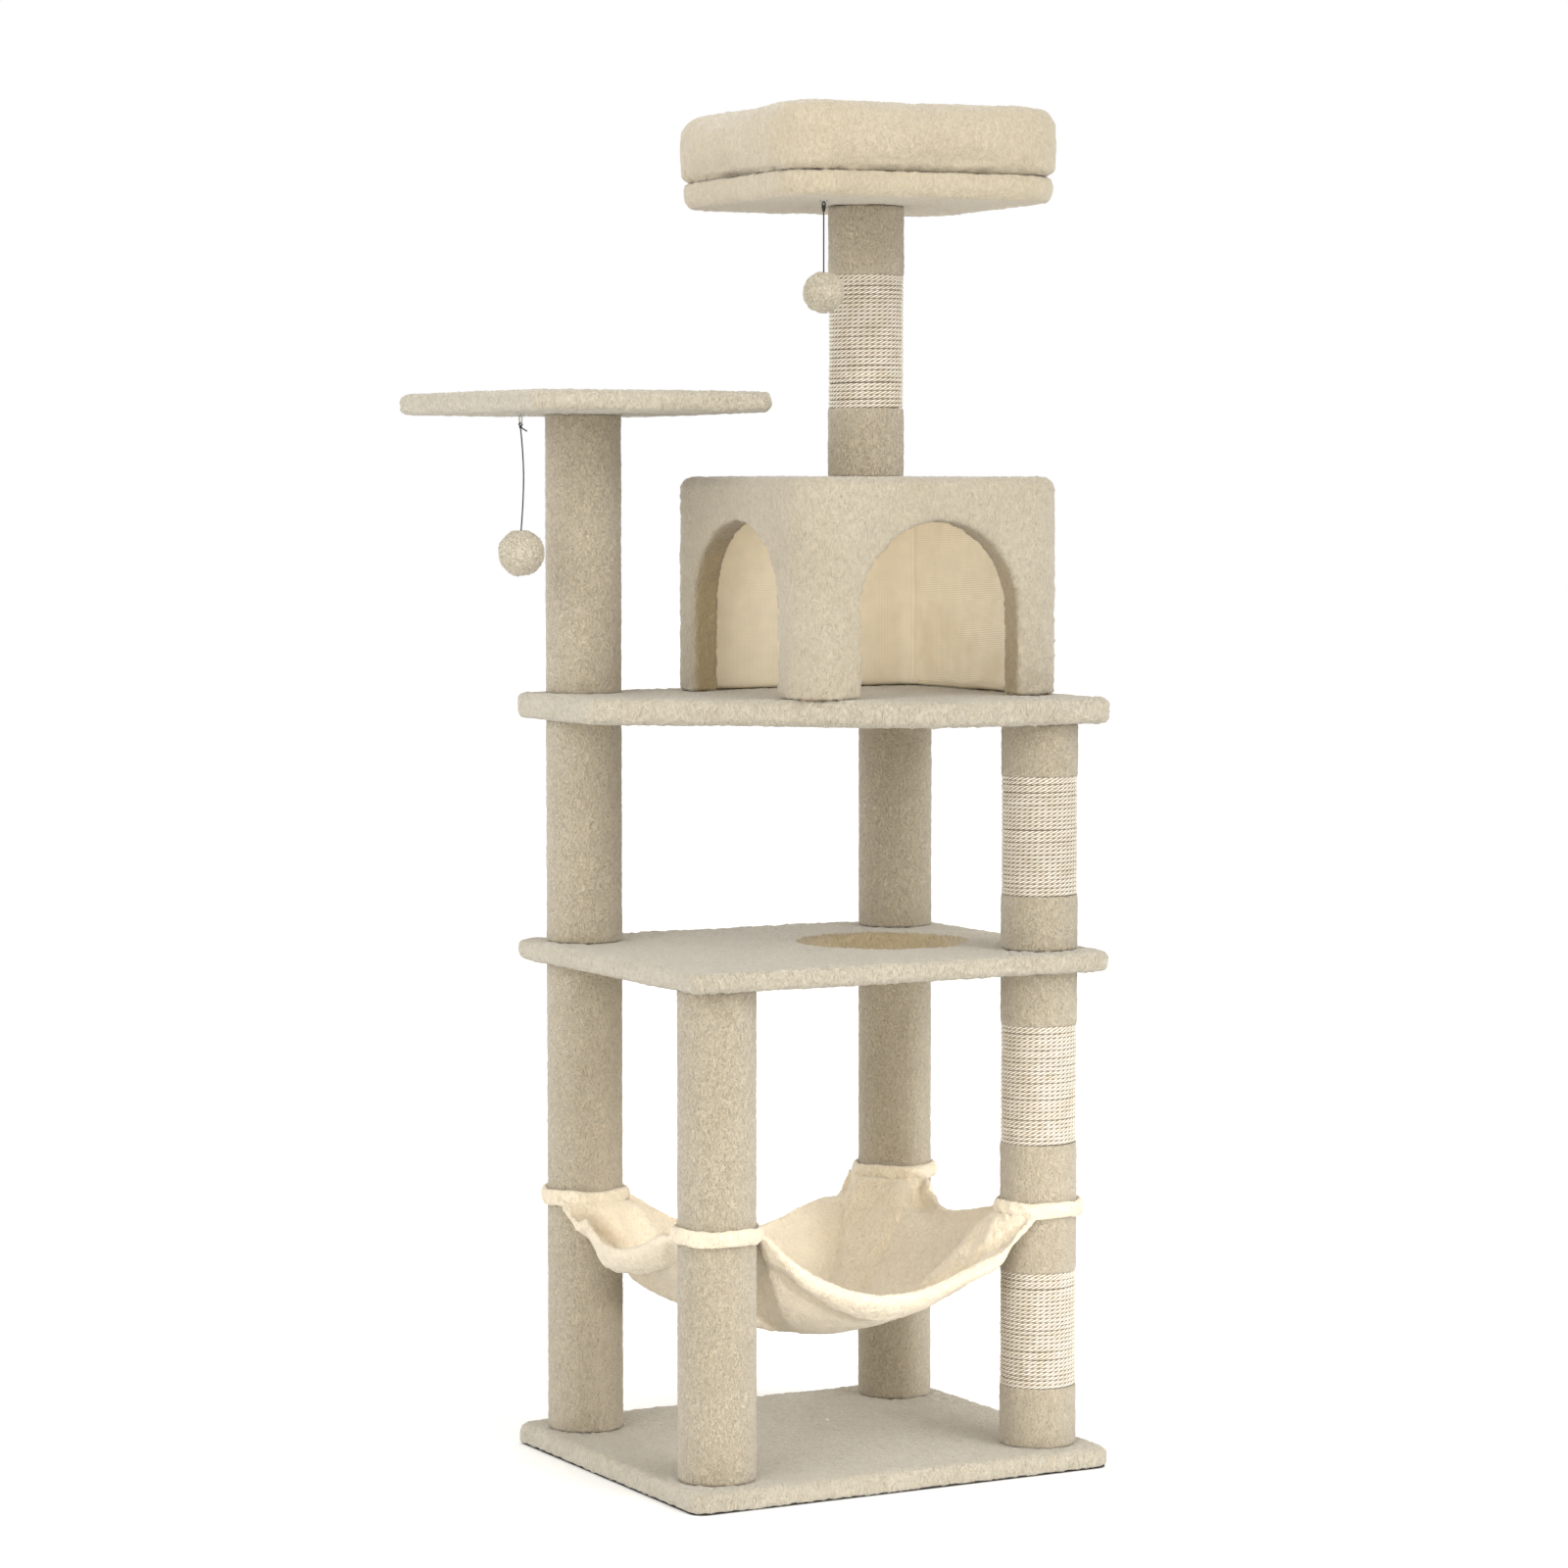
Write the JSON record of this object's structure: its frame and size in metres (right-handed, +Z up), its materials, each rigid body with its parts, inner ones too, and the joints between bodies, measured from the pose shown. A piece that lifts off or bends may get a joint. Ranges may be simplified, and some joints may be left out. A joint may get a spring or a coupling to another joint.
{
  "type": "cat tree",
  "caption": "Plush cat tree: columns with sisal, two shelves, a house with arches, a hammock, a side perch, a padded bed on top and two hanging toys.",
  "frame": {"origin": "centre of the base's underside, on the floor", "axes": "+Z up; -Y is the front, with the house's large arch and the front edge of the hammock; +X runs along the base's long side towards the columns with sisal"},
  "size_m": [0.632, 0.585, 1.557],
  "materials": {
    "underlay": "thin non-woven sheet",
    "cardboard": "spiral-wound kraft paperboard",
    "sisal": "twisted sisal rope with a slight sheen",
    "column_plush": "short plush",
    "shelf_plush": "short plush",
    "house_plush": "short plush",
    "lining": "smooth woven cloth",
    "steel": "zinc plated",
    "plug_plastic": "moulded",
    "board": "raw particle board",
    "hammock_plush": "soft long plush",
    "bed_plush": "soft long plush",
    "ball_plush": "fluffy pile",
    "black_cord": "waxed cotton cord",
    "pale_cord": "cotton cord"
  },
  "bodies": {
    "root": {"back_1_sleeve": "column_plush", "back_2_sleeve": "column_plush", "back_3_sleeve": "column_plush", "back_column_tubes": "cardboard", "base_board": "board", "base_cover": "shelf_plush", "base_underlay": "underlay", "column_bolts": "steel", "flanged_nuts": "steel", "front_1_sleeve": "column_plush", "front_2_sleeve": "column_plush", "front_column_tubes": "cardboard", "hammock_rings": "hammock_plush", "hammock_sling": "hammock_plush", "house_back_wall": "board", "house_corner_pieces": "board", "house_cover": "house_plush", "house_front_wall": "board", "house_left_wall": "board", "house_liner": "lining", "house_right_wall": "board", "house_roof_board": "board", "house_screws": "steel", "joining_studs": "steel", "left_1_sleeve": "column_plush", "left_2_sleeve": "column_plush", "left_3_sleeve": "column_plush", "left_4_sleeve": "column_plush", "left_column_tubes": "cardboard", "mid_shelf_board": "board", "mid_shelf_cover": "shelf_plush", "right_1_collars": "column_plush", "right_1_sisal": "sisal", "right_2_collars": "column_plush", "right_2_sisal": "sisal", "right_3_collars": "column_plush", "right_3_sisal": "sisal", "right_column_tubes": "cardboard", "side_perch_board": "board", "side_perch_cover": "shelf_plush", "top_bed_base": "bed_plush", "top_bed_board": "board", "top_bed_bolster": "bed_plush", "top_bed_pad": "bed_plush", "top_collars": "column_plush", "top_column_tubes": "cardboard", "top_sisal": "sisal", "toy_staples": "steel", "tube_end_plugs": "plug_plastic", "upper_shelf_board": "board", "upper_shelf_cover": "shelf_plush"},
    "side_toy_link": {"side_toy_loop": "pale_cord"},
    "side_toy": {"side_toy_knot": "black_cord", "side_toy_string": "black_cord", "side_toy_ball": "ball_plush"},
    "top_toy_link": {"top_toy_loop": "black_cord"},
    "top_toy": {"top_toy_knot": "black_cord", "top_toy_string": "black_cord", "top_toy_ball": "ball_plush"}
  },
  "joints": [
    {"name": "side_toy_swing_y", "type": "hinge", "parent": "root", "child": "side_toy_link", "pos_m": [-0.323, 0.093, 1.2035], "axis": [1, 0, 0], "range_deg": [-70, 20]},
    {"name": "side_toy_swing_x", "type": "hinge", "parent": "side_toy_link", "child": "side_toy", "pos_m": [-0.323, 0.093, 1.1943], "axis": [0, 1, 0], "range_deg": [-15, 70]},
    {"name": "top_toy_swing_y", "type": "hinge", "parent": "root", "child": "top_toy_link", "pos_m": [-0.024, -0.075, 1.4425], "axis": [1, 0, 0], "range_deg": [-70, 30]},
    {"name": "top_toy_swing_x", "type": "hinge", "parent": "top_toy_link", "child": "top_toy", "pos_m": [-0.024, -0.075, 1.4383], "axis": [0, 1, 0], "range_deg": [-30, 70]}
  ]
}
